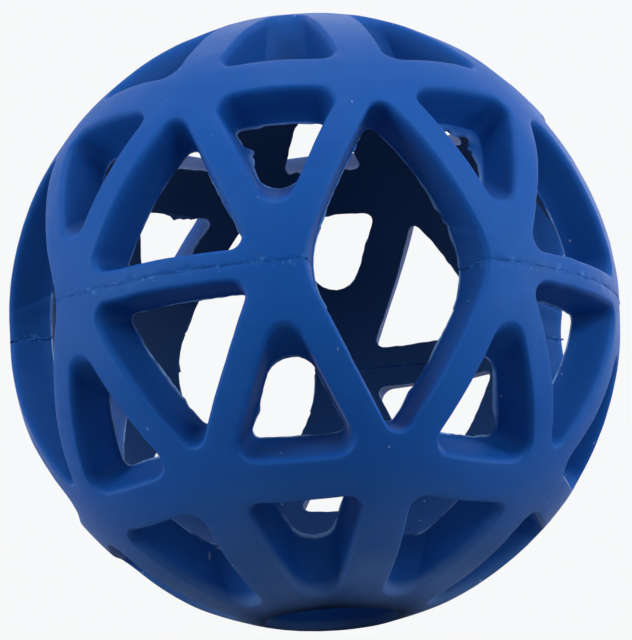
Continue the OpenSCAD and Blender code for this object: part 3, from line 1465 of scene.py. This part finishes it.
    def moulded(self, graph: Graph, place: Socket) -> Socket:
        """Colour of the clean rubber, mottled on the outer face, with painted shade that darkens
        the walls.

        Args:
            graph: the material.
            place: coordinates in metres.

        Returns:
            The colour.
        """
        patches = graph.pattern(place, self.bloom_patches)
        bloom = graph.maths("MULTIPLY", patches, self.bloom_share)
        colour = graph.blend(bloom, self.colour, self.bloom)
        darker = tuple(channel * self.mottle_level for channel in self.colour)
        mottle = graph.maths("MULTIPLY", graph.pattern(place, self.mottle), self.mottle_share)
        colour = graph.blend(mottle, colour, darker)
        # Painted shade: the walls of the openings take on the darker wall colour.
        outer = self.outer_face(graph, place)
        outer = graph.maths("MULTIPLY_ADD", outer, self.wall_shade_share, 1 - self.wall_shade_share)
        return graph.blend(outer, self.wall, colour)

    def inner_face_shade(self, graph: Graph, place: Socket) -> Socket:
        """How far painted shade darkens and greys the inner face: more in the upper half than in
        the lower.

        Args:
            graph: the material.
            place: coordinates in metres.

        Returns:
            A share, 0 away from the inner face.
        """
        belt = self.sizes.belt_height * METRES
        low, high = self.hollow_shade_heights
        least, most = self.hollow_shade_shares
        spans = {"From Min": belt * low, "From Max": belt * high, "To Min": least, "To Max": most}
        painted_shade = graph.add("ShaderNodeMapRange", {"Value": graph.height(place), **spans})
        return graph.maths("MULTIPLY", graph.mark(INNER_FACE), painted_shade.outputs["Result"])

    def outer_face(self, graph: Graph, place: Socket) -> Socket:
        """Where the outer face lies.

        Args:
            graph: the material.
            place: coordinates in metres.

        Returns:
            1 there, and 0 on the walls of the openings.
        """
        centre_z = self.sizes.belt_height + self.half.value * self.sizes.end_rise
        values = {0: place, 1: (0.0, 0.0, centre_z * METRES)}
        away = graph.add("ShaderNodeVectorMath", values, operation="DISTANCE").outputs["Value"]
        low, high = (self.sizes.ball_radius - depth for depth in self.wall_depths)
        return graph.ramp(away, low * METRES, high * METRES)

    def near_seam(self, graph: Graph, place: Socket, reach: float) -> Socket:
        """How near the seam lies.

        Args:
            graph: the material.
            place: coordinates in metres.
            reach: how far above and below it counts, in millimetres.

        Returns:
            1 at the seam, falling to 0 at the reach.
        """
        offset = graph.maths("SUBTRACT", graph.height(place), self.sizes.belt_height * METRES)
        away = graph.maths("ABSOLUTE", offset)
        return graph.ramp(away, reach * METRES, self.seam_core * METRES)

    def smudges(self, graph: Graph, place: Socket) -> Socket:
        """Where residue of the bonding lies: broken patches beside the seam.

        Args:
            graph: the material.
            place: coordinates in metres.

        Returns:
            How strongly it shows.
        """
        broken = graph.pattern(place, self.residue_patches)
        near = self.near_seam(graph, place, self.residue_reach)
        return graph.maths("MULTIPLY", graph.maths("MULTIPLY", near, broken), self.residue_share)

    def flecks(self, graph: Graph, place: Socket) -> Socket:
        """Where small pale crumbs of the bonding stick out beside the seam.

        Args:
            graph: the material.
            place: coordinates in metres.

        Returns:
            How strongly they show.
        """
        crumbs = graph.pattern(place, self.crumbs)
        groups = graph.pattern(place, self.crumb_groups)
        near = self.near_seam(graph, place, self.crumb_reach)
        return graph.maths("MULTIPLY", near, graph.maths("MULTIPLY", crumbs, groups))

    def painted_bounce_share(self, graph: Graph, place: Socket, top: float) -> Socket:
        """Where painted bounce light greys and lightens the ball: round its lower end.

        Args:
            graph: the material.
            place: coordinates in metres.
            top: height in millimetres at which the painted light ends.

        Returns:
            How strongly it shows.
        """
        low = graph.ramp(graph.height(place), top * METRES, self.painted_bounce_base * METRES)
        cloudy = graph.pattern(place, self.painted_bounce_clouds)
        outer = self.outer_face(graph, place)
        return graph.maths("MULTIPLY", graph.maths("MULTIPLY", low, cloudy), outer)

    def specks(self, graph: Graph, place: Socket, radius: float) -> Socket:
        """Where grains of pale dust lie.

        Args:
            graph: the material.
            place: coordinates in metres, drawn out where the grains are fibres.
            radius: radius of a grain as a share of the distance between grains.

        Returns:
            How far each point belongs to a grain.
        """
        values = {"Vector": place, "Scale": 1 / (self.dust_spacing * METRES)}
        cells = graph.add("ShaderNodeTexVoronoi", values)
        pick = graph.add("ShaderNodeSeparateColor", {0: cells.outputs["Color"]})
        grain = graph.ramp(cells.outputs["Distance"], radius, radius * self.dust_core)
        chosen = graph.maths("GREATER_THAN", pick.outputs[0], self.dust_rarity)
        return graph.maths("MULTIPLY", graph.maths("MULTIPLY", grain, chosen), self.dust_share)

    def gloss(self, graph: Graph, place: Socket) -> Socket:
        """Roughness, a little uneven from handling.

        Args:
            graph: the material.
            place: coordinates in metres.

        Returns:
            The roughness.
        """
        uneven = graph.maths("SUBTRACT", graph.noise(place, self.handling), NOISE_MIDDLE)
        return graph.maths("MULTIPLY_ADD", uneven, self.handling_change, self.roughness)

    def relief(self, graph: Graph, place: Socket) -> Socket:
        """Fine moulded grain and faint rub marks.

        Args:
            graph: the material.
            place: coordinates in metres.

        Returns:
            The surface's normal.
        """
        grain = graph.noise(place, self.grain)
        rubs = graph.pattern(graph.drawn_out(place, self.rub_streaks), self.rubs)
        height = graph.maths("MULTIPLY_ADD", rubs, self.rub_height, grain)
        return graph.bump(height, self.relief_strength, self.relief_depth)


@dataclass(frozen=True)
class BondFinish:
    """Cured bonding compound: darker than the rubber, uneven and a little glossier."""

    name: str
    colour: Colour = (0.005, 0.060, 0.29)
    pale: Colour = (0.016, 0.115, 0.44)
    patches: Pattern = Pattern(2.6, 4.0, 0.6, 0.42, 0.56)
    roughness: float = 0.5
    gloss: Pattern = Pattern(1.0, 2.0)
    gloss_change: float = 0.2
    specular_level: float = 0.15
    specular_tint: Colour = (0.5, 0.85, 1.0)
    grain: Pattern = Pattern(0.4, 3.0)
    relief_strength: float = 0.5
    relief_depth: float = 0.1

    def material(self) -> bpy.types.Material:
        """Makes the material.

        Returns:
            The new material.
        """
        graph = Graph(self.name)
        place = graph.place()
        gloss = graph.noise(place, self.gloss)
        grain = graph.noise(place, self.grain)
        values = {
            "Base Color": graph.blend(graph.pattern(place, self.patches), self.colour, self.pale),
            "Roughness": graph.maths("MULTIPLY_ADD", gloss, self.gloss_change, self.roughness),
            "Normal": graph.bump(grain, self.relief_strength, self.relief_depth),
            "Specular IOR Level": self.specular_level,
            "Specular Tint": (*self.specular_tint, 1),
        }
        return graph.finish(graph.add("ShaderNodeBsdfPrincipled", values).outputs[0])


@dataclass
class PhotoCamera:
    """A camera that sees the ball as the photograph does, from a little below its belt.

    Angles are degrees. The distance is counted in radii of the ball, the ball's radius and
    centre are in pixels of the photograph, and the sensor's width is in millimetres.
    """

    sizes: LatticeSizes
    distance_radii: float = 24.38
    tilt: float = -11.564
    roll: float = -3.408
    turn: float = -16.765
    ball_pixels: float = 305.6
    centre_pixels: tuple[float, float] = (314.5, 322.06)
    image_pixels: tuple[int, int] = (632, 640)
    sensor: float = 36.0
    clip_start: float = 0.01

    def build(self) -> None:
        """Makes the camera and puts it in the scene."""
        turn, tilt, roll = map(math.radians, (self.turn, self.tilt, self.roll))
        away = math.cos(tilt)
        back = Vector((math.sin(turn) * away, -math.cos(turn) * away, math.sin(tilt)))
        right = Vector((math.cos(turn), math.sin(turn), 0))
        up = back.cross(right)
        rolled_right = math.cos(roll) * right + math.sin(roll) * up
        rolled_up = math.cos(roll) * up - math.sin(roll) * right
        wide, high = self.image_pixels
        data = bpy.data.cameras.new("photo_camera")
        data.sensor_width = self.sensor
        data.sensor_fit = "HORIZONTAL"
        focal_pixels = self.ball_pixels * math.sqrt(self.distance_radii**2 - 1)
        data.lens = focal_pixels / wide * self.sensor
        data.shift_x = (wide / 2 - self.centre_pixels[0]) / wide
        data.shift_y = (self.centre_pixels[1] - high / 2) / wide
        data.clip_start = self.clip_start
        camera = bpy.data.objects.new("photo_camera", data)
        turned = Matrix((rolled_right, rolled_up, back)).transposed().to_4x4()
        centre = Vector((0, 0, self.sizes.belt_height * METRES))
        reach = self.distance_radii * self.sizes.ball_radius * METRES
        camera.matrix_world = Matrix.Translation(centre + back * reach) @ turned
        bpy.context.scene.collection.objects.link(camera)
        bpy.context.scene.camera = camera


@dataclass(frozen=True)
class SoftBox:
    """A round area lamp that points at the ball.

    Its place is an angle round the axis, counted from the camera's side, and an angle up, both
    in degrees. Its power is in watts, and its reach and size are metres.
    """

    name: str
    round_angle: float
    up_angle: float
    power: float
    reach: float = 1.3
    size: float = 0.5

    def build(self, target: Vector, camera_turn: float) -> None:
        """Makes the lamp.

        Args:
            target: the point that the lamp faces.
            camera_turn: how far the camera is turned round the axis, from the front.
        """
        data = bpy.data.lights.new(self.name, "AREA")
        data.shape = "DISK"
        data.size = self.size
        data.energy = self.power
        way = Vector(spot(camera_turn - 90 + self.round_angle, self.up_angle))
        lamp = bpy.data.objects.new(self.name, data)
        lamp.location = target + way * self.reach
        lamp.rotation_euler = (-way).to_track_quat("-Z", "Y").to_euler()
        bpy.context.scene.collection.objects.link(lamp)


@dataclass
class Studio:
    """Pale floor, pale surroundings and soft boxes overhead and all round.

    The floor's size and the card's radius are metres, and the floor's drop is millimetres.
    """

    sizes: LatticeSizes
    camera_turn: float
    floor_size: float = 4.0
    floor_drop: float = 0.2
    floor_colour: Colour = (0.80, 0.80, 0.79)
    floor_bounce: Colour = (0.30, 0.30, 0.30)
    card_bounce: Colour = (0.72, 0.72, 0.72)
    card_radius: float = 0.07
    surround: Colour = (0.93, 0.94, 0.95)
    surround_light: float = 0.12

    def lamps(self) -> list[SoftBox]:
        """The soft boxes.

        Returns:
            The lamps, each with its angle round the axis, its angle up and its power in watts.
        """
        return [
            SoftBox("top_box", 0, 80, 4.2),
            SoftBox("left_box", -60, 20, 6.4),
            SoftBox("front_box", 30, 20, 4.2),
            SoftBox("right_box", 60, 32, 5.0),
            SoftBox("far_right_box", 90, 3, 5.6),
            SoftBox("far_left_box", -90, 3, 4.2),
            SoftBox("back_box", 180, 50, 1.5),
            SoftBox("back_right_box", 150, 20, 1.6),
            SoftBox("back_left_box", -140, 5, 0.8),
        ]

    def floor_material(self) -> bpy.types.Material:
        """Pale floor that the camera sees from above only, because it looks up at the ball.

        Round the ball it also throws light up, as a white card laid there would.

        Returns:
            The new material.
        """
        graph = Graph("pale_floor")
        ray = graph.add("ShaderNodeLightPath").outputs["Is Camera Ray"]
        behind = graph.add("ShaderNodeNewGeometry").outputs["Backfacing"]
        values = {0: graph.place()}
        away = graph.add("ShaderNodeVectorMath", values, operation="LENGTH").outputs["Value"]
        card = graph.ramp(away, self.card_radius, self.card_radius / 2)
        bounce = graph.blend(card, self.floor_bounce, self.card_bounce)
        colour = graph.blend(graph.seen_rays(), bounce, self.floor_colour)
        matte = graph.add("ShaderNodeBsdfDiffuse", {"Color": colour})
        clear = graph.add("ShaderNodeBsdfTransparent")
        seen_through = graph.maths("MULTIPLY", ray, behind)
        shaders = {0: seen_through, 1: matte.outputs[0], 2: clear.outputs[0]}
        return graph.finish(graph.add("ShaderNodeMixShader", shaders).outputs[0])

    def build_floor(self) -> None:
        """Makes the floor as one square, just under the lowest wave of the ball's rim."""
        half, low = self.floor_size / 2, -self.floor_drop * METRES
        corners = [(-half, -half, low), (half, -half, low), (half, half, low), (-half, half, low)]
        mesh = bpy.data.meshes.new("floor")
        mesh.from_pydata(corners, [], [(0, 1, 2, 3)])
        mesh.materials.append(self.floor_material())
        floor = bpy.data.objects.new("floor", mesh)
        bpy.context.scene.collection.objects.link(floor)

    def build_world(self) -> None:
        """Makes surroundings that light the ball softly and show as pale behind it."""
        world = bpy.data.worlds.new("pale_surroundings")
        graph = Graph.of_world(world)
        levels = {"Factor": graph.seen_rays(), "A": self.surround_light, "B": 1.0}
        strength = graph.add("ShaderNodeMix", levels)
        values = {"Color": (*self.surround, 1), "Strength": strength.outputs[0]}
        shader = graph.add("ShaderNodeBackground", values).outputs[0]
        graph.add("ShaderNodeOutputWorld", {"Surface": shader})
        bpy.context.scene.world = world

    def build(self) -> None:
        """Makes the floor, the surroundings and the lamps."""
        self.build_floor()
        self.build_world()
        target = Vector((0, 0, self.sizes.belt_height * METRES))
        for lamp in self.lamps():
            lamp.build(target, self.camera_turn)
        bpy.context.scene.view_settings.view_transform = "Standard"


def main() -> None:
    """Builds the camera, the studio and every piece of the ball."""
    logging.basicConfig(level=logging.INFO, format="%(name)s %(message)s")
    sizes = LatticeSizes.from_frame(frame)
    camera = PhotoCamera(sizes)
    camera.build()
    Studio(sizes, camera.turn).build()
    for half in Half:
        shell = HalfShell(half, sizes)
        finish = RubberFinish(half.slot, half, sizes)
        shell.dress(shell.build(), finish.material())
    bond_material = BondFinish("seam_bond").material()
    for quarter in Quarter:
        bond = SeamBond(quarter, sizes)
        bond.dress(bond.build(), bond_material)


if __name__ == "__main__":
    main()
